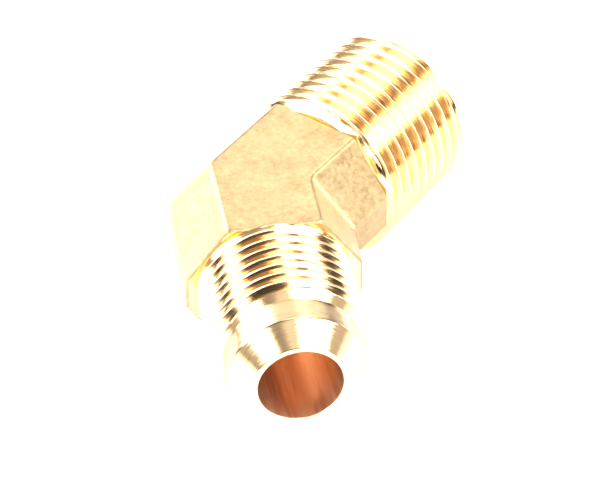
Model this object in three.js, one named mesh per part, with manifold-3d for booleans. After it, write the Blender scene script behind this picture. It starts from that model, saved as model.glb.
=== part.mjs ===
// 45 degree male elbow: SAE 45 degree flare end to tapered pipe thread end.
// One brass forging, machined at both ends and drilled through from both ends.
// Millimetres, +Z up. The flare end points along -Y and the pipe end along
// (+X +Y)/sqrt(2), so the bend lies flat. The origin is on the lower forged flat,
// directly below the point where the two end axes cross.
import * as THREE from 'three';
import { mergeVertices } from 'three/addons/utils/BufferGeometryUtils.js';
import Module from 'manifold-3d';

const wasm = await Module();
wasm.setup();

// ---- driving dimensions (mm) ----
const BEND_DEG = 45;            // turn from one end's axis to the other's
const FACETS = 40;              // facets round every turned surface
const BORE_FACETS = 48;         // facets round the drilled passages

// forged body: an eight-sided section swept along both axes and mitred at the bend
const FLAT_HALF_HEIGHT = 9.25;  // centreline to the upper and lower flats
const FLAT_HALF_WIDTH = 5.75;   // half the width of the upper and lower flats
const SIDE_HALF_WIDTH = 10.7;   // centreline to the side bands at the parting line
const SIDE_HALF_HEIGHT = 2.2;   // half the height of the side bands
const BODY_TO_FLARE = 10.7;     // axes crossing to the shoulder behind the flare thread
const BODY_TO_PIPE = 11.7;      // axes crossing to the shoulder behind the pipe thread

// flare end
const FLARE_REACH = 29.2;       // axes crossing to the nose face
const FLARE_BORE_R = 5.156;     // 0.406 in bore
const NOSE_RIM_R = 5.8;         // outside of the flat nose rim
const NECK_R = 8.3;             // plain neck between seat and thread
const SEAT_LENGTH = NECK_R - NOSE_RIM_R; // 45 degree seat, so its length is its rise
const NECK_LENGTH = 3.6;
const FLARE_CREST_R = 9.525;    // 3/4-16 UNF major diameter 19.05
const FLARE_PITCH = 25.4 / 16;
const FLARE_DEPTH = 0.97;       // crest to root
const FLARE_RUNOUT = 0.3;       // full crest height kept before the thread starts

// pipe end
const PIPE_REACH = 29.6;        // axes crossing to the pipe end face
const PIPE_BORE_R = 6.75;
const PIPE_CREST_R = 10.36;     // 1/2-14 NPT crest radius at the small end
const PIPE_TAPER = 1 / 32;      // radius gained per mm of length
const PIPE_PITCH = 25.4 / 14;
const PIPE_DEPTH = 1.38;
const PIPE_RUNOUT = 0.6;
const SHOULDER_LAP = 0.15;       // the threaded blanks start this far inside the body's end faces
const RUNOUT_SLOPE = 0.9;       // rise of the root per mm where the thread runs out
const DRILL_HALF_ANGLE = 59;    // degrees, of the drill points where the passages meet

// ---- helpers ----
const rad = (d) => d * Math.PI / 180;
const v2 = (x, y) => new THREE.Vector2(x, y);

function signedVolume(geometry) {
  const p = geometry.attributes.position;
  const ix = geometry.index;
  const a = new THREE.Vector3(), b = new THREE.Vector3(), c = new THREE.Vector3();
  let v = 0;
  for (let i = 0; i < ix.count; i += 3) {
    a.fromBufferAttribute(p, ix.getX(i));
    b.fromBufferAttribute(p, ix.getX(i + 1));
    c.fromBufferAttribute(p, ix.getX(i + 2));
    v += a.dot(b.cross(c)) / 6;
  }
  return v;
}

// welds a geometry, drops its collapsed triangles and makes its faces point out
function weld(geometry, tolerance = 1e-4) {
  let g = geometry.clone();
  g.deleteAttribute('normal');
  g.deleteAttribute('uv');
  g = mergeVertices(g, tolerance);
  const ix = g.index.array;
  const keep = [];
  for (let i = 0; i < ix.length; i += 3) {
    const [a, b, c] = [ix[i], ix[i + 1], ix[i + 2]];
    if (a !== b && b !== c && c !== a) keep.push(a, b, c);
  }
  g.setIndex(keep);
  if (signedVolume(g) < 0) {
    for (let i = 0; i < keep.length; i += 3) [keep[i], keep[i + 1]] = [keep[i + 1], keep[i]];
    g.setIndex(keep);
  }
  return g;
}

function solid(geometry) {
  const g = weld(geometry);
  return new wasm.Manifold(new wasm.Mesh({
    numProp: 3,
    vertProperties: new Float32Array(g.attributes.position.array),
    triVerts: new Uint32Array(g.index.array),
  }));
}

function toGeometry(manifold) {
  const m = manifold.getMesh();
  const g = new THREE.BufferGeometry();
  g.setAttribute('position', new THREE.BufferAttribute(new Float32Array(m.vertProperties), 3));
  g.setIndex(Array.from(m.triVerts));
  return g;
}

// One helical thread form, in steps of pitch / FACETS: crest, flank, root, flank.
const FORM = [5, 12, 11, 12];

// A turned end with its thread, on the local +Y axis. inner and outer are plain profile
// points (radius, station) before and after the thread zone, which runs from start to
// end. The zone's rows of vertices follow the edges of the thread form round the helix,
// so crest, flanks and root are helical faces; a row that would leave the zone is held
// at its end ring. The root rises to the crest at runout, and the chamfer cuts the
// thread down to chamfer.radius at the free end.
function turnedEnd({ inner, outer, start, end, pitch, phase, crest, depth, runout, chamfer }) {
  const step = pitch / FACETS;
  const steps = Math.round((end - start) / step);
  const rows = [];
  for (let turn = phase - 2 * FACETS; turn < steps; turn += FACETS) {
    let k = turn;
    for (const [width, high] of [[FORM[0], true], [FORM[1], true], [FORM[2], false], [FORM[3], false]]) {
      if (k > -FACETS && k < steps) rows.push({ k, high });
      k += width;
    }
  }
  const radius = (k, high) => {
    if (k <= 0) return crest(end - steps * step);
    const s = end - (steps - k) * step;
    const form = crest(s) - (high ? 0 : depth);
    const run = crest(s) - Math.max(0, s - runout) * RUNOUT_SLOPE;
    return Math.min(Math.max(form, run), chamfer.radius + (end - s) * chamfer.slope);
  };
  const zone = [{ k: -FACETS, high: true }, ...rows, { k: steps, high: true }];
  const points = [...inner, ...zone.map(() => v2(1, start)), ...outer];
  const g = new THREE.LatheGeometry(points, FACETS);
  for (let i = 0; i <= FACETS; i++) {
    const angle = (i % FACETS) / FACETS * Math.PI * 2;
    zone.forEach((row, j) => {
      const k = Math.min(Math.max(row.k + i, 0), steps);
      const r = radius(k, row.high);
      g.attributes.position.setXYZ(i * points.length + inner.length + j,
        r * Math.sin(angle), end - (steps - k) * step, r * Math.cos(angle));
    });
  }
  return g;
}

// ---- forged body ----
function section() {
  const w = FLAT_HALF_WIDTH, h = FLAT_HALF_HEIGHT, r = SIDE_HALF_WIDTH, b = SIDE_HALF_HEIGHT;
  return [[r, -b], [r, b], [w, h], [-w, h], [-r, b], [-r, -b], [-w, -h], [w, -h]];
}
const flareDir = new THREE.Vector3(0, -1, 0);
const pipeDir = new THREE.Vector3(Math.sin(rad(BEND_DEG)), Math.cos(rad(BEND_DEG)), 0);
const flareSide = new THREE.Vector3(1, 0, 0);                                   // towards the inside of the bend
const pipeSide = new THREE.Vector3(Math.cos(rad(BEND_DEG)), -Math.sin(rad(BEND_DEG)), 0);
const mitre = flareDir.clone().add(pipeDir).normalize();
const mitreStretch = 1 / Math.cos(rad(BEND_DEG / 2));

function forgedBody() {
  const rings = [
    section().map(([a, b]) => flareDir.clone().multiplyScalar(BODY_TO_FLARE).addScaledVector(flareSide, a).setZ(b)),
    section().map(([a, b]) => mitre.clone().multiplyScalar(a * mitreStretch).setZ(b)),
    section().map(([a, b]) => pipeDir.clone().multiplyScalar(BODY_TO_PIPE).addScaledVector(pipeSide, a).setZ(b)),
  ];
  const n = rings[0].length;
  const positions = rings.flat().flatMap((p) => [p.x, p.y, p.z]);
  const index = [];
  for (let r = 0; r < 2; r++) {
    for (let i = 0; i < n; i++) {
      const a = r * n + i, b = r * n + (i + 1) % n, c = a + n, d = b + n;
      index.push(a, b, d, a, d, c);
    }
  }
  for (let i = 1; i < n - 1; i++) {
    index.push(0, i + 1, i);
    index.push(2 * n, 2 * n + i, 2 * n + i + 1);
  }
  const g = new THREE.BufferGeometry();
  g.setAttribute('position', new THREE.Float32BufferAttribute(positions, 3));
  g.setIndex(index);
  return g;
}

// ---- flare end ----
function flareEnd() {
  const end = FLARE_REACH - SEAT_LENGTH - NECK_LENGTH;
  const g = turnedEnd({
    inner: [v2(0, 5), v2(8.0, 5), v2(8.0, BODY_TO_FLARE - SHOULDER_LAP), v2(FLARE_CREST_R, BODY_TO_FLARE - SHOULDER_LAP)],
    outer: [v2(NECK_R, end + NECK_LENGTH), v2(NOSE_RIM_R, FLARE_REACH), v2(0, FLARE_REACH)],
    start: BODY_TO_FLARE + 0.25, end, pitch: FLARE_PITCH, phase: 9,
    crest: () => FLARE_CREST_R, depth: FLARE_DEPTH, runout: BODY_TO_FLARE + FLARE_RUNOUT,
    chamfer: { radius: NECK_R, slope: 1.4 },
  });
  g.rotateX(Math.PI);
  return g;
}

// ---- pipe end ----
function pipeEnd() {
  const crest = (s) => PIPE_CREST_R + (PIPE_REACH - s) * PIPE_TAPER;
  const g = turnedEnd({
    inner: [v2(0, 5), v2(8.0, 5), v2(8.0, BODY_TO_PIPE - SHOULDER_LAP), v2(crest(BODY_TO_PIPE), BODY_TO_PIPE - SHOULDER_LAP)],
    outer: [v2(0, PIPE_REACH)],
    start: BODY_TO_PIPE + 0.4, end: PIPE_REACH, pitch: PIPE_PITCH, phase: 20,
    crest, depth: PIPE_DEPTH, runout: BODY_TO_PIPE + PIPE_RUNOUT,
    chamfer: { radius: PIPE_CREST_R - PIPE_DEPTH - 0.1, slope: 1.0 },
  });
  g.rotateZ(-rad(BEND_DEG));
  return g;
}

// ---- drilled passages ----
// full is the station where the full diameter ends, behind the drill point
function drill(radius, full, reach, chamfer = 0) {
  const tip = full - radius / Math.tan(rad(DRILL_HALF_ANGLE));
  const mouth = chamfer
    ? [v2(radius, reach - chamfer), v2(radius + chamfer + 1, reach + 1)]
    : [v2(radius, reach + 1)];
  return new THREE.LatheGeometry([v2(0, tip), v2(radius, full), ...mouth, v2(0, reach + 1)], BORE_FACETS);
}

const flareDrill = drill(FLARE_BORE_R, -1.0, FLARE_REACH);
flareDrill.rotateX(Math.PI);
const pipeDrill = drill(PIPE_BORE_R, 0.5, PIPE_REACH, 0.4);
pipeDrill.rotateZ(-rad(BEND_DEG));

const elbow = solid(forgedBody())
  .add(solid(flareEnd()))
  .add(solid(pipeEnd()))
  .subtract(solid(flareDrill))
  .subtract(solid(pipeDrill));

// ---- scene graph ----
const brass = new THREE.MeshStandardMaterial({ color: 0xcfa54b, roughness: 0.34, metalness: 1.0 });

const body = new THREE.Mesh(toGeometry(elbow), brass);
body.name = 'elbow_body';
body.position.set(0, 0, FLAT_HALF_HEIGHT);

const fitting = new THREE.Group();
fitting.name = 'flare_fitting';
fitting.add(body);

export default fitting;
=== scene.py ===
import math

import bpy
import numpy as np
from mathutils import Matrix, Vector


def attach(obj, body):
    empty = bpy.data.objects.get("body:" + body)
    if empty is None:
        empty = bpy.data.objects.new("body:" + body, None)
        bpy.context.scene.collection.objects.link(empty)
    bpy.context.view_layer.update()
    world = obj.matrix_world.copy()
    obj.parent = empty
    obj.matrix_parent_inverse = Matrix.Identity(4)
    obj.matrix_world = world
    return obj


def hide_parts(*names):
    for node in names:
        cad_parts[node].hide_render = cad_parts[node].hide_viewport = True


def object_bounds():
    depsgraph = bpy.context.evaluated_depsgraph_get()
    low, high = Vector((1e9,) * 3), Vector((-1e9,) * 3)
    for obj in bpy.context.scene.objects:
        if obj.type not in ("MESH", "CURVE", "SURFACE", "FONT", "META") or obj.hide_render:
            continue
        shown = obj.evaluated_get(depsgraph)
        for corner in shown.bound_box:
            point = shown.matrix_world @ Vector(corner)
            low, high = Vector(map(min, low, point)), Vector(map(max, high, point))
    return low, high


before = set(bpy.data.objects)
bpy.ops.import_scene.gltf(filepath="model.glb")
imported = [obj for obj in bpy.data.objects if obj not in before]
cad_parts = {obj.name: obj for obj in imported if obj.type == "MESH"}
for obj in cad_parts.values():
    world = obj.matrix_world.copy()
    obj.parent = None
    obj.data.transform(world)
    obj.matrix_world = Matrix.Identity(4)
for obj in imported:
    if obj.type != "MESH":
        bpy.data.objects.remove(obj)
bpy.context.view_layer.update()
MM = 0.001

# ---- dimensions in millimetres, the same as the CAD body ----
H = 9.25                       # axes above the lower flat
FLAT_W, SIDE_R, SIDE_H = 5.75, 10.7, 2.2
LF, LP = 10.7, 11.7            # body ends on the flare and pipe axes
FLARE_REACH, PIPE_REACH = 29.2, 29.6
FLARE_BORE, PIPE_BORE = 5.156, 6.75
RIM_R, NECK_R, NECK_L = 5.8, 8.3, 3.6
FLARE_CREST, FLARE_PITCH, FLARE_DEPTH = 9.525, 25.4 / 16, 0.97
PIPE_CREST, PIPE_PITCH, PIPE_DEPTH, TAPER = 10.36, 25.4 / 14, 1.38, 1 / 32
TURN = math.radians(45)

FDIR = np.array([0.0, -1.0, 0.0])
PDIR = np.array([math.sin(TURN), math.cos(TURN), 0.0])
FSIDE = np.array([1.0, 0.0, 0.0])
PSIDE = np.array([math.cos(TURN), -math.sin(TURN), 0.0])


# ---------------------------------------------------------------- noise in numpy
def hash3(ix, iy, iz, seed):
    n = (ix * 374761393 + iy * 668265263 + iz * 2147483647 + seed * 1274126177) & 0xFFFFFFFF
    n = ((n ^ (n >> 13)) * 1274126177) & 0xFFFFFFFF
    return ((n ^ (n >> 16)) & 0xFFFFFF) / float(0xFFFFFF) * 2 - 1


def noise(p, scale, seed):
    """Smooth value noise in -1..1 at points p, with the given cell size."""
    q = np.asarray(p, float) / scale
    i = np.floor(q).astype(np.int64)
    f = q - i
    f = f * f * f * (f * (f * 6 - 15) + 10)
    out = 0
    for dx in (0, 1):
        for dy in (0, 1):
            for dz in (0, 1):
                w = (
                    (f[..., 0] if dx else 1 - f[..., 0])
                    * (f[..., 1] if dy else 1 - f[..., 1])
                    * (f[..., 2] if dz else 1 - f[..., 2])
                )
                out = out + w * hash3(i[..., 0] + dx, i[..., 1] + dy, i[..., 2] + dz, seed)
    return out


# ---------------------------------------------------------------- mesh helpers
def make_mesh(name, verts, faces, mats, index=None):
    me = bpy.data.meshes.new(name)
    me.from_pydata([tuple(v) for v in verts], [], faces)
    for m in mats:
        me.materials.append(m)
    if index is not None:
        me.polygons.foreach_set("material_index", np.asarray(index, np.int32))
    me.validate()
    me.update()
    ob = bpy.data.objects.new(name, me)
    bpy.context.scene.collection.objects.link(ob)
    return ob


def weld(verts, faces, tol=1e-5):
    """Merges equal vertices and drops the faces that collapse."""
    key = np.floor(np.asarray(verts) / tol + 0.37).astype(np.int64)
    _, first, inverse = np.unique(key, axis=0, return_index=True, return_inverse=True)
    inverse = inverse.reshape(-1)
    out = []
    for f in faces:
        g = []
        for v in f:
            w = int(inverse[v])
            if not g or g[-1] != w:
                g.append(w)
        if len(g) > 1 and g[0] == g[-1]:
            g.pop()
        if len(set(g)) == len(g) and len(g) > 2:
            out.append(tuple(g))
    return np.asarray(verts)[first], out


def frame_to_world(axis, side, local):
    """local columns are (along the side, along +Z, along the axis), in millimetres from the axes' crossing."""
    p = local[..., 0:1] * side + local[..., 1:2] * np.array([0, 0, 1.0]) + local[..., 2:3] * axis
    return (p + np.array([0, 0, H])) * MM


# ---------------------------------------------------------------- turned ends
# One turn of the thread form as (part of the pitch, depth): rounded crest edges, 30 degree flanks, rounded root.
def thread_form(crest_w, root_w):
    half = [
        (0.0, 0.0), (crest_w * 0.30, 0.0), (crest_w * 0.42, 0.008), (crest_w * 0.52, 0.04),
        (crest_w * 0.64, 0.10),
    ]
    f0, f1 = crest_w * 0.64, 0.5 - root_w * 0.62
    for t in (0.33, 0.66):
        half.append((f0 + (f1 - f0) * t, 0.10 + 0.80 * t))
    half += [(f1, 0.90), (0.5 - root_w * 0.44, 0.965), (0.5 - root_w * 0.24, 0.995), (0.5, 1.0)]
    return half + [(1 - u, d) for u, d in half[-2:0:-1]]


def turned(name, axis, side, pre, start, end, pitch, form, phase, crest, depth, runout, lead, chamfer, post, segs, mats, seed):
    """A closed turned solid on its axis. pre and post are plain (station, radius) rows before and after the thread zone;
    rows in the zone follow the thread form round a right-hand helix and are held at the zone's two end rings.
    lead and chamfer are the (radius, rise) of the cones that the blank starts and ends with."""
    rows = []
    k = -2
    while True:
        base = start + (k + phase) * pitch
        if base > end:
            break
        rows += [(base + u * pitch, d) for u, d in form]
        k += 1
    rows = [r for r in rows if start - pitch <= r[0] <= end]
    ang = np.arange(segs + 1) / segs * 2 * math.pi
    verts, nrows = [], 0

    def add(r, s):
        nonlocal nrows
        a = ang[:-1]
        r = np.broadcast_to(r, a.shape)
        s = np.broadcast_to(s, a.shape)
        loc = np.stack([r * np.cos(a), r * np.sin(a), s], -1)
        verts.append(loc)
        nrows += 1

    faces = []
    # plain rows
    ring = [np.stack([r * np.cos(ang), r * np.sin(ang), np.full_like(ang, s)], -1) for s, r in pre]
    zone = [(None, None)] + rows + [(None, None)]
    for j, (s0, d) in enumerate(zone):
        if j == 0:
            s = np.full_like(ang, start)
            r = np.full_like(ang, lead[0])
        elif j == len(zone) - 1:
            s = np.full_like(ang, end)
            r = np.full_like(ang, chamfer[0])
        else:
            s = s0 + ang / (2 * math.pi) * pitch
            c = crest(s)
            r = c - d * depth
            # the die's small variations: crest height and flank
            wob = noise(np.stack([np.cos(ang) * 9, np.sin(ang) * 9, s], -1), 3.1, seed)
            r = r + wob * 0.010 - 0.010
            r = np.maximum(r, c - np.maximum(0, s - runout) * 0.8)
            r = np.minimum(r, np.minimum(lead[0] + (s - start) * lead[1], chamfer[0] + (end - s) * chamfer[1]))
            low, high = s <= start, s >= end
            r = np.where(low, lead[0], np.where(high, chamfer[0], r))
            s = np.clip(s, start, end)
        ring.append(np.stack([r * np.cos(ang), r * np.sin(ang), s], -1))
    ring += [np.stack([r * np.cos(ang), r * np.sin(ang), np.full_like(ang, s)], -1) for s, r in post]
    grid = np.stack(ring)                                  # rows, segs + 1, 3
    n, m = grid.shape[:2]
    pts = grid.reshape(-1, 3)
    # the seam: column segs of a row is column 0 one pitch on, which the weld finds
    idx = np.arange(n * m).reshape(n, m)
    for j in range(n - 1):
        for i in range(segs):
            faces.append((idx[j, i], idx[j, i + 1], idx[j + 1, i + 1], idx[j + 1, i]))
    # split the quads, so that the welded collapse leaves clean triangles
    tris = []
    for a, b, c, d in faces:
        tris.append((a, b, c))
        tris.append((a, c, d))
    # caps over the first and the last ring
    tris.append(tuple(idx[0, :segs][::-1]))
    tris.append(tuple(idx[-1, :segs]))
    v, f = weld(pts, tris, 1e-4)
    ob = make_mesh(name, frame_to_world(axis, side, v), f, mats)
    return outward(ob)


def volume_of(me):
    bm_v = 0.0
    me.calc_loop_triangles()
    co = np.empty(len(me.vertices) * 3)
    me.vertices.foreach_get("co", co)
    co = co.reshape(-1, 3)
    t = np.empty(len(me.loop_triangles) * 3, np.int32)
    me.loop_triangles.foreach_get("vertices", t)
    t = t.reshape(-1, 3)
    a, b, c = co[t[:, 0]], co[t[:, 1]], co[t[:, 2]]
    return float(np.einsum("ij,ij->i", a, np.cross(b, c)).sum() / 6)


def outward(ob):
    if volume_of(ob.data) < 0:
        ob.data.flip_normals()
    return ob


# ---------------------------------------------------------------- forged body
def rounded_section(radius, spacing):
    """The eight-sided section with rounded corners: points (side, up) and their outward normals."""
    c = [(SIDE_R, -SIDE_H), (SIDE_R, SIDE_H), (FLAT_W, H), (-FLAT_W, H),
         (-SIDE_R, SIDE_H), (-SIDE_R, -SIDE_H), (-FLAT_W, -H), (FLAT_W, -H)]
    c = np.array(c, float)
    n = len(c)
    pts, nor = [], []
    arcs = []
    for i in range(n):
        p, q, r = c[i - 1], c[i], c[(i + 1) % n]
        u = (p - q) / np.linalg.norm(p - q)
        w = (r - q) / np.linalg.norm(r - q)
        half = math.acos(np.clip(u @ w, -1, 1)) / 2
        d = radius / math.tan(half)
        mid = (u + w) / np.linalg.norm(u + w)
        centre = q + mid * radius / math.sin(half)
        a, b = q + u * d, q + w * d
        arc = []
        a0 = math.atan2(*(a - centre)[::-1])
        a1 = math.atan2(*(b - centre)[::-1])
        while a1 < a0 - 1e-9:
            a1 += 2 * math.pi
        for t in np.linspace(0, 1, 6):
            x = a0 + (a1 - a0) * t
            e = np.array([math.cos(x), math.sin(x)])
            arc.append((centre + e * radius, e))
        arcs.append(arc)
    for i in range(n):
        for p, e in arcs[i]:
            pts.append(p); nor.append(e)
        a, e = arcs[i][-1]
        b, _ = arcs[(i + 1) % n][0]
        m = max(1, int(round(np.linalg.norm(b - a) / spacing)))
        for t in range(1, m):
            pts.append(a + (b - a) * t / m); nor.append(e)
    return np.array(pts), np.array(nor)


def forged_body(mats):
    sec, nor = rounded_section(0.85, 0.42)
    m = len(sec)
    rings, normals = [], []
    straight = 26
    arc_n = 6
    a = sec[:, 0]
    # radius that the die leaves on the mitre creases: tight inside the bend, easy outside it
    bend = 1.5 + 4.0 * np.clip(-a / SIDE_R, 0, 1) ** 2
    tan_l = bend * math.tan(TURN / 2)
    # where each line of the sweep meets the mitre, as a station on each arm
    knee = a * math.tan(TURN / 2)

    def place(arm, s, inset=0.0):
        axis, side = (FDIR, FSIDE) if arm == 0 else (PDIR, PSIDE)
        q = sec - nor * inset
        p = q[:, 0:1] * side + q[:, 1:2] * np.array([0, 0, 1.0]) + np.broadcast_to(s, (m,))[:, None] * axis
        w = nor[:, 0:1] * side + nor[:, 1:2] * np.array([0, 0, 1.0])
        return p, w

    for s, inset in ((LF, 0.30), (LF - 0.12, 0.12), (LF - 0.30, 0.0)):
        p, w = place(0, s, inset)
        rings.append(p); normals.append(w)
    for t in np.linspace(0, 1, straight + 1)[1:]:
        s = (LF - 0.30) + ((knee + tan_l) - (LF - 0.30)) * t
        p, w = place(0, s)
        rings.append(p); normals.append(w)
    pa, na = place(0, knee + tan_l)
    pb, nb = place(1, knee + tan_l)
    knee_p, _ = place(0, knee)
    for t in np.linspace(0, 1, arc_n + 1)[1:]:
        p = (1 - t) ** 2 * pa + 2 * t * (1 - t) * knee_p + t ** 2 * pb
        w = (1 - t) * na + t * nb
        w /= np.linalg.norm(w, axis=1)[:, None]
        rings.append(p); normals.append(w)
    for t in np.linspace(0, 1, straight + 1)[1:]:
        s = (knee + tan_l) + (LP - 0.5 - (knee + tan_l)) * t
        p, w = place(1, s)
        rings.append(p); normals.append(w)
    for s, inset in ((LP - 0.30, 0.03), (LP - 0.03, 0.30), (LP, 0.36)):
        p, w = place(1, s, inset)
        rings.append(p); normals.append(w)
    P, W = np.stack(rings), np.stack(normals)
    # the as-forged surface: shallow waves, dents and scale marks, fading out at the machined shoulders
    k = np.ones(len(P)); k[:2] = 0.0; k[2] = 0.4; k[-3:] = 0.1; k[-4] = 0.7
    d = (noise(P, 5.3, 11) * 0.030 + noise(P, 2.1, 12) * 0.016 + noise(P, 0.95, 13) * 0.009 - 0.050) * k[:, None]
    P = P + W * d[..., None]
    n = len(P)
    idx = np.arange(n * m).reshape(n, m)
    faces = []
    for j in range(n - 1):
        for i in range(m):
            i2 = (i + 1) % m
            faces.append((idx[j, i], idx[j, i2], idx[j + 1, i2], idx[j + 1, i]))
    mat = [0] * len(faces)
    faces.append(tuple(idx[0, ::-1])); mat.append(1)
    faces.append(tuple(idx[-1])); mat.append(0)
    faces = [tuple(int(x) for x in f) for f in faces]
    v = (P.reshape(-1, 3) + np.array([0, 0, H])) * MM
    return outward(make_mesh("forged_body", v, faces, mats, mat))


# ---------------------------------------------------------------- drilled passages
def drill(name, axis, side, rows, segs, mats):
    ang = np.arange(segs) / segs * 2 * math.pi
    v, f = [], []
    tip = rows[0][0]
    v.append((0, 0, tip))
    for s, r in rows[1:]:
        for x in ang:
            v.append((r * math.cos(x), r * math.sin(x), s))
    n = len(rows) - 1
    for i in range(segs):
        f.append((0, 1 + (i + 1) % segs, 1 + i))
    for j in range(n - 1):
        a, b = 1 + j * segs, 1 + (j + 1) * segs
        for i in range(segs):
            i2 = (i + 1) % segs
            f.append((a + i, a + i2, b + i2, b + i))
    last = 1 + (n - 1) * segs
    f.append(tuple(last + i for i in range(segs)))
    return outward(make_mesh(name, frame_to_world(axis, side, np.array(v, float)), f, mats))


def boolean(ob, other, how):
    m = ob.modifiers.new("cut", "BOOLEAN")
    m.operation = how
    m.solver = "MANIFOLD"
    m.object = other
    if hasattr(m, "material_mode"):
        m.material_mode = "TRANSFER"
    dg = bpy.context.evaluated_depsgraph_get()
    me = bpy.data.meshes.new_from_object(ob.evaluated_get(dg), preserve_all_data_layers=True, depsgraph=dg)
    ob.modifiers.clear()
    old = ob.data
    ob.data = me
    bpy.data.meshes.remove(old)
    bpy.data.objects.remove(other)




# ---------------------------------------------------------------- materials
class Tree:
    """A small helper for building a material's nodes."""

    def __init__(self, name):
        self.mat = bpy.data.materials.new(name)
        self.mat.use_nodes = True
        self.t = self.mat.node_tree
        self.t.nodes.clear()
        self.out = self.t.nodes.new("ShaderNodeOutputMaterial")
        self.bsdf = self.t.nodes.new("ShaderNodeBsdfPrincipled")
        self.t.links.new(self.bsdf.outputs[0], self.out.inputs[0])
        self.co = self.t.nodes.new("ShaderNodeTexCoord").outputs["Object"]

    def link(self, a, b):
        self.t.links.new(a, b)
        return b

    def math(self, op, a, b=None, c=None, clamp=False):
        n = self.t.nodes.new("ShaderNodeMath")
        n.operation, n.use_clamp = op, clamp
        for i, x in enumerate((a, b, c)):
            if x is None:
                continue
            if isinstance(x, (int, float)):
                n.inputs[i].default_value = x
            else:
                self.link(x, n.inputs[i])
        return n.outputs[0]

    def noise(self, scale, detail=2.0, rough=0.5, vec=None, dist=0.0):
        n = self.t.nodes.new("ShaderNodeTexNoise")
        n.inputs["Scale"].default_value = scale
        n.inputs["Detail"].default_value = detail
        n.inputs["Roughness"].default_value = rough
        n.inputs["Distortion"].default_value = dist
        self.link(vec or self.co, n.inputs["Vector"])
        return n.outputs["Fac"]

    def voronoi(self, scale, vec=None, feature="F1"):
        n = self.t.nodes.new("ShaderNodeTexVoronoi")
        n.feature = feature
        n.inputs["Scale"].default_value = scale
        self.link(vec or self.co, n.inputs["Vector"])
        return n.outputs["Distance"]

    def mapping(self, scale=(1, 1, 1), rot=(0, 0, 0), loc=(0, 0, 0)):
        n = self.t.nodes.new("ShaderNodeMapping")
        n.inputs["Scale"].default_value = scale
        n.inputs["Rotation"].default_value = rot
        n.inputs["Location"].default_value = loc
        self.link(self.co, n.inputs["Vector"])
        return n.outputs[0]

    def ramp(self, fac, stops):
        n = self.t.nodes.new("ShaderNodeValToRGB")
        e = n.color_ramp.elements
        while len(e) < len(stops):
            e.new(0.5)
        for el, (p, c) in zip(e, stops):
            el.position = p
            el.color = (*c, 1) if len(c) == 3 else c
        self.link(fac, n.inputs[0])
        return n.outputs[0]

    def value(self, fac, stops):
        return self.ramp(fac, [(p, (v, v, v)) for p, v in stops])

    def mix(self, fac, a, b, kind="MIX"):
        n = self.t.nodes.new("ShaderNodeMix")
        n.data_type = "RGBA"
        n.blend_type = kind
        n.clamp_factor = True
        for sock, x in ((n.inputs[0], fac), (n.inputs[6], a), (n.inputs[7], b)):
            if isinstance(x, (int, float)):
                sock.default_value = x
            elif isinstance(x, tuple):
                sock.default_value = (*x, 1)
            else:
                self.link(x, sock)
        return n.outputs[2]

    def bump(self, height, strength, distance_mm, normal=None):
        n = self.t.nodes.new("ShaderNodeBump")
        n.inputs["Strength"].default_value = strength
        n.inputs["Distance"].default_value = distance_mm * MM
        self.link(height, n.inputs["Height"])
        if normal is not None:
            self.link(normal, n.inputs["Normal"])
        return n.outputs[0]


def srgb(r, g, b):
    f = lambda c: c / 12.92 if c <= 0.04045 else ((c + 0.055) / 1.055) ** 2.4
    return tuple(f(c / 255) for c in (r, g, b))


def forged_brass():
    """Blasted and pickled forging skin: fine grain, soft mottling, faint scale marks, no mirror."""
    t = Tree("forged_brass")
    b = t.bsdf
    b.inputs["Metallic"].default_value = 1.0
    broad = t.noise(260, 3, 0.55)
    fine = t.noise(1500, 4, 0.65)
    specks = t.noise(2600, 2, 0.5)
    col = t.ramp(broad, [(0.30, (0.285, 0.188, 0.085)), (0.50, (0.333, 0.23, 0.106)), (0.72, (0.382, 0.279, 0.138))])
    col = t.mix(t.value(fine, [(0.36, 0.0), (0.66, 0.55)]), col, (0.49, 0.37, 0.20))
    col = t.mix(t.value(specks, [(0.26, 0.55), (0.40, 0.0)]), col, (0.36, 0.21, 0.08))
    t.link(col, b.inputs["Base Color"])
    t.link(t.value(fine, [(0.3, 0.32), (0.7, 0.44)]), b.inputs["Roughness"])
    n = t.bump(broad, 0.25, 0.25)
    n = t.bump(fine, 0.55, 0.06, n)
    n = t.bump(specks, 0.35, 0.035, n)
    t.link(n, b.inputs["Normal"])
    return t.mat


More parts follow.
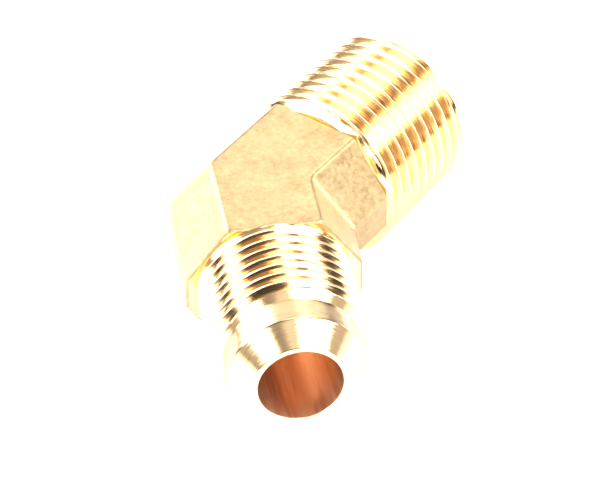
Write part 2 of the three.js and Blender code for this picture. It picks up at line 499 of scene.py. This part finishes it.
def turned_brass(name, axis, base=(0.93, 0.62, 0.33), dull=None):
    """Brass straight off the tool: fine rings round the part's axis, bright, with faint streaks."""
    t = Tree(name)
    b = t.bsdf
    b.inputs["Metallic"].default_value = 1.0
    # station along the axis: a noise that changes only along it draws rings
    sep = t.t.nodes.new("ShaderNodeSeparateXYZ")
    t.link(t.co, sep.inputs[0])
    x, y = sep.outputs[0], sep.outputs[1]
    along = t.math("ADD", t.math("MULTIPLY", x, float(axis[0])), t.math("MULTIPLY", y, float(axis[1])))
    comb = t.t.nodes.new("ShaderNodeCombineXYZ")
    t.link(along, comb.inputs[0])
    ring = comb.outputs[0]
    rings = t.noise(5200, 3, 0.7, ring)
    coarse = t.noise(1700, 2, 0.5, ring)
    stain = t.noise(240, 3, 0.5)
    col = t.mix(t.value(stain, [(0.35, 0.0), (0.75, 0.6)]), tuple(base), (0.95, 0.67, 0.37))
    col = t.mix(t.value(rings, [(0.30, 0.35), (0.55, 0.0)]), col, (0.80, 0.45, 0.18))
    if dull:                                   # painted shade: the neck's stretch of the axis gets a darker colour, standing in for the thread's shading of its reflections
        on = t.math("MULTIPLY", t.math("GREATER_THAN", along, dull[0]), t.math("LESS_THAN", along, dull[1]))
        col = t.mix(t.math("MULTIPLY", on, 0.9), col, (0.40, 0.275, 0.15))
    t.link(col, b.inputs["Base Color"])
    t.link(t.value(rings, [(0.3, 0.09), (0.7, 0.17)]), b.inputs["Roughness"])
    n = t.bump(coarse, 0.40, 0.03)
    n = t.bump(rings, 0.85, 0.03, n)
    t.link(n, b.inputs["Normal"])
    return t.mat


def drilled_brass():
    """Drilled passage: coppery from light bouncing inside it, with faint rings and lengthwise streaks."""
    t = Tree("drilled_brass")
    b = t.bsdf
    b.inputs["Metallic"].default_value = 1.0
    fine = t.noise(1.0, 3, 0.6, t.mapping((3600, 2200, 3600)))
    streak = t.noise(1.0, 3, 0.55, t.mapping((1500, 90, 1500)))
    broad = t.noise(300, 2, 0.5)
    col = t.mix(t.value(broad, [(0.35, 0.0), (0.7, 0.6)]), (0.98, 0.65, 0.44), (1.0, 0.71, 0.52))
    col = t.mix(t.value(streak, [(0.36, 0.75), (0.52, 0.0)]), col, (0.84, 0.50, 0.29))
    t.link(col, b.inputs["Base Color"])
    t.link(t.value(streak, [(0.3, 0.30), (0.7, 0.42)]), b.inputs["Roughness"])
    n = t.bump(streak, 0.35, 0.02)
    n = t.bump(fine, 0.2, 0.006, n)
    t.link(n, b.inputs["Normal"])
    return t.mat


# ---------------------------------------------------------------- build the fitting
M_FORGED = forged_brass()
# the flare end's neck carries painted shade: a darker colour on its stretch of the axis
M_FLARE = turned_brass("turned_brass_flare", FDIR, dull=((FLARE_REACH - (NECK_R - RIM_R) - NECK_L) * MM, (FLARE_REACH - (NECK_R - RIM_R)) * MM))
M_PIPE = turned_brass("turned_brass_pipe", PDIR)
M_BORE = drilled_brass()

body = forged_body([M_FORGED, M_FLARE])

thread_end = FLARE_REACH - (NECK_R - RIM_R) - NECK_L
edge = 0.12
flare_post = [(thread_end + t, NECK_R) for t in (0.4, 1.0, 1.8, 2.6, NECK_L - 2 * edge)]
flare_post += [(thread_end + NECK_L - edge * 0.6, NECK_R - 0.02), (thread_end + NECK_L, NECK_R - 0.07)]
seat0, seat1 = (thread_end + NECK_L + edge * 0.6, NECK_R - 0.07 - edge * 0.62), (FLARE_REACH - 0.10, RIM_R + 0.09)
flare_post += [(seat0[0] + (seat1[0] - seat0[0]) * t, seat0[1] + (seat1[1] - seat0[1]) * t) for t in (0, 0.25, 0.5, 0.75, 1)]
flare_post += [(FLARE_REACH - 0.03, RIM_R + 0.03), (FLARE_REACH, RIM_R - 0.05), (FLARE_REACH, FLARE_BORE - 0.6)]
flare = turned(
    "flare_end", FDIR, FSIDE,
    pre=[(5.0, 8.0), (LF - 0.15, 8.0), (LF - 0.15, FLARE_CREST - 0.06), (LF + 0.02, FLARE_CREST)],
    start=LF + 0.06, end=thread_end, pitch=FLARE_PITCH, form=thread_form(0.19, 0.16), phase=0.225,
    crest=lambda s: FLARE_CREST + 0 * s, depth=FLARE_DEPTH, runout=LF + 0.1, lead=(FLARE_CREST - 0.02, 1.0), chamfer=(NECK_R, 1.0),
    post=flare_post, segs=160, mats=[M_FLARE], seed=21,
)
crest = lambda s: PIPE_CREST + (PIPE_REACH - s) * TAPER
pipe = turned(
    "pipe_end", PDIR, PSIDE,
    pre=[(5.0, 8.0), (LP - 0.15, 8.0), (LP - 0.15, 9.60), (LP, 9.70)],
    start=LP + 0.04, end=PIPE_REACH, pitch=PIPE_PITCH, form=thread_form(0.16, 0.14), phase=0.5,
    crest=crest, depth=1.28, runout=LP + 0.35, lead=(9.75, 1.4), chamfer=(PIPE_CREST - PIPE_DEPTH - 0.1, 1.0),
    post=[(PIPE_REACH, PIPE_BORE - 0.8)], segs=176, mats=[M_PIPE], seed=22,
)
tip = lambda full, r: full - r / math.tan(math.radians(59))
flare_drill = drill("flare_drill", FDIR, FSIDE, [
    (tip(-1.0, FLARE_BORE), 0), (-1.0, FLARE_BORE), *[(s, FLARE_BORE) for s in (6, 13, 20, 26)],
    (FLARE_REACH - 0.12, FLARE_BORE), (FLARE_REACH - 0.03, FLARE_BORE + 0.03), (FLARE_REACH + 0.4, FLARE_BORE + 0.46), (FLARE_REACH + 1, FLARE_BORE + 0.46)], 128, [M_BORE])
pipe_drill = drill("pipe_drill", PDIR, PSIDE, [
    (tip(0.5, PIPE_BORE), 0), (0.5, PIPE_BORE), *[(s, PIPE_BORE) for s in (7, 14, 21)],
    (PIPE_REACH - 0.4, PIPE_BORE), (PIPE_REACH + 1, PIPE_BORE + 1.4)], 128, [M_BORE])

boolean(body, flare, "UNION")
boolean(body, pipe, "UNION")
boolean(body, flare_drill, "DIFFERENCE")
boolean(body, pipe_drill, "DIFFERENCE")
body.name = "brass_elbow"
body.data.shade_smooth()
body.data.set_sharp_from_angle(angle=math.radians(32))

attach(body, "root")
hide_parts("elbow_body")


# ---------------------------------------------------------------- floor, light, camera
def studio(world, low, gap, boxes):
    """A plain studio as the world: an even pale gap and a few white softboxes, each given by
    its middle azimuth (0 is -Y, 90 is +X), half width, lower and upper elevation, softness and level."""
    t = world.node_tree
    bg = t.nodes["Background"]
    sep = t.nodes.new("ShaderNodeSeparateXYZ")
    t.links.new(t.nodes.new("ShaderNodeTexCoord").outputs["Generated"], sep.inputs[0])
    x, y, z = sep.outputs

    def op(kind, a, b=None, c=None):
        n = t.nodes.new("ShaderNodeMath")
        n.operation = kind
        for i, v in enumerate((a, b, c)):
            if isinstance(v, (int, float)):
                n.inputs[i].default_value = v
            elif v is not None:
                t.links.new(v, n.inputs[i])
        return n.outputs[0]

    def edge(v, lo, hi):                       # 0 at lo, 1 at hi, smooth between
        n = t.nodes.new("ShaderNodeMapRange")
        n.interpolation_type = "SMOOTHSTEP"
        t.links.new(v, n.inputs["Value"])
        n.inputs["From Min"].default_value = lo
        n.inputs["From Max"].default_value = hi
        return n.outputs["Result"]

    el = op("ARCSINE", z)
    deg = math.radians
    # the sweep below, the unlit gap at the horizon, and the dimmer studio above it
    total = op("MULTIPLY", edge(el, deg(-7), deg(-13)), 2.6)
    total = op("ADD", total, op("MULTIPLY", edge(el, deg(18), deg(46)), gap - low))
    total = op("ADD", total, low)
    for az, half, e0, e1, soft, level in boxes:
        az, half, e0, e1, soft = (math.radians(v) for v in (az, half, e0, e1, soft))
        fx, fy = math.sin(az), -math.cos(az)
        front = op("ADD", op("MULTIPLY", x, fx), op("MULTIPLY", y, fy))
        side = op("SUBTRACT", op("MULTIPLY", x, fy), op("MULTIPLY", y, fx))
        a = op("ABSOLUTE", op("ARCTAN2", side, front))
        m = edge(a, half + soft, half - soft)
        m = op("MULTIPLY", m, edge(el, e0 - soft, e0 + soft))
        m = op("MULTIPLY", m, edge(el, e1 + soft, e1 - soft))
        total = op("ADD", op("MULTIPLY", total, op("SUBTRACT", 1.0, m)), op("MULTIPLY", m, level))
    # straight to the camera the studio's wall is plain white
    total = op("ADD", total, op("MULTIPLY", t.nodes.new("ShaderNodeLightPath").outputs["Is Camera Ray"], 6.0))
    bg.inputs[0].default_value = (1, 1, 1, 1)
    t.links.new(total, bg.inputs[1])


lo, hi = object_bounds()
floor_z = lo.z - 0.00002
fm = bpy.data.materials.new("floor")
fm.use_nodes = True
fb = fm.node_tree.nodes["Principled BSDF"]
fb.inputs["Base Color"].default_value = (0.93, 0.93, 0.93, 1)
fb.inputs["Roughness"].default_value = 0.9
fb.inputs["Specular IOR Level"].default_value = 0.1
ring = [(0.13 * math.cos(i * math.pi / 48), 0.13 * math.sin(i * math.pi / 48), floor_z) for i in range(96)]
floor = make_mesh("floor", ring, [tuple(range(96))], [fm])

centre = Vector((0.006, -0.001, H * MM))
world = bpy.data.worlds.new("world")
bpy.context.scene.world = world
world.use_nodes = True
studio(world, 0.05, 0.45, [
    (180, 16, -10, 24, 4, 0.9),      # behind, near the floor
    (30, 18, 9, 60, 2, 9.0),         # right, towards the front
    (75, 27, 25, 50, 3, 9.0),        # right
    (66, 13, 1, 22, 4, 0.7),
    (90, 7, 6, 19, 3, 0.7),
    (84, 16, -10, 5, 3, 2.6),
    (112, 15, -12, 14, 4, 7.5),
    (140, 9, -12, 15, 3, 1.5),
    (148, 12, 16, 39, 3, 2.9),      # behind, to the right
    (168, 9, 20, 46, 3, 4.0),
    (147, 15, 41, 54, 3, 7.0),
    (-173, 22, 27, 50, 5, 2.8),      # behind
    (168, 42, 58, 78, 4, 6.5),       # behind, overhead
    (130, 80, 67, 88, 3, 6.0),
    (116, 13, 24, 58, 3, 0.15),
    (-137, 18, 1, 44, 3, 12.0),      # behind, to the left
    (-47, 10, 17, 39, 3, 9.0),       # left, towards the front
    (-88, 32, 9, 44, 2, 9.0),        # left
    (-92, 14, -4, 7, 3, 0.6),
    (-60, 9, -2, 15, 3, 0.6),
    (-64, 12, -13, -3, 2, 1.8),
    (-27, 7, 4, 10, 2, 6.0),         # low, left of the camera
    (-6, 12, 42, 62, 4, 1.2),
])

# the main view: long lens, from the flare end, 40 degrees above the floor
AZ, EL, ROLL = math.radians(-9.878), math.radians(40.149), math.radians(0.303)
SCALE, DIST = 8.290, 100.0 / 0.095            # px per mm at the axes' crossing, mm to it
CX, CY = 266 - 5.848, 224.5 + 3.868            # where the crossing lands in the 600 x 480 frame
back = Vector((math.sin(AZ) * math.cos(EL), -math.cos(AZ) * math.cos(EL), math.sin(EL)))
right = Vector((math.cos(AZ), math.sin(AZ), 0))
up = back.cross(right)
right, up = math.cos(ROLL) * right + math.sin(ROLL) * up, -math.sin(ROLL) * right + math.cos(ROLL) * up
cam_d = bpy.data.cameras.new("camera")
cam = bpy.data.objects.new("camera", cam_d)
bpy.context.scene.collection.objects.link(cam)
cam_d.sensor_width = 36.0
cam_d.lens = SCALE * DIST / 600 * 36.0
cam_d.clip_start, cam_d.clip_end = 0.05, 20
at = Vector((0, 0, H * MM)) + back * DIST * MM - right * ((CX - 300) / SCALE * MM) + up * ((CY - 240) / SCALE * MM)
cam.matrix_world = Matrix((
    (right.x, up.x, back.x, at.x), (right.y, up.y, back.y, at.y), (right.z, up.z, back.z, at.z), (0, 0, 0, 1)))
bpy.context.scene.camera = cam

vs = bpy.context.scene.view_settings
vs.view_transform = "Standard"
vs.look = "None"
vs.exposure = 0.0
vs.gamma = 1.0
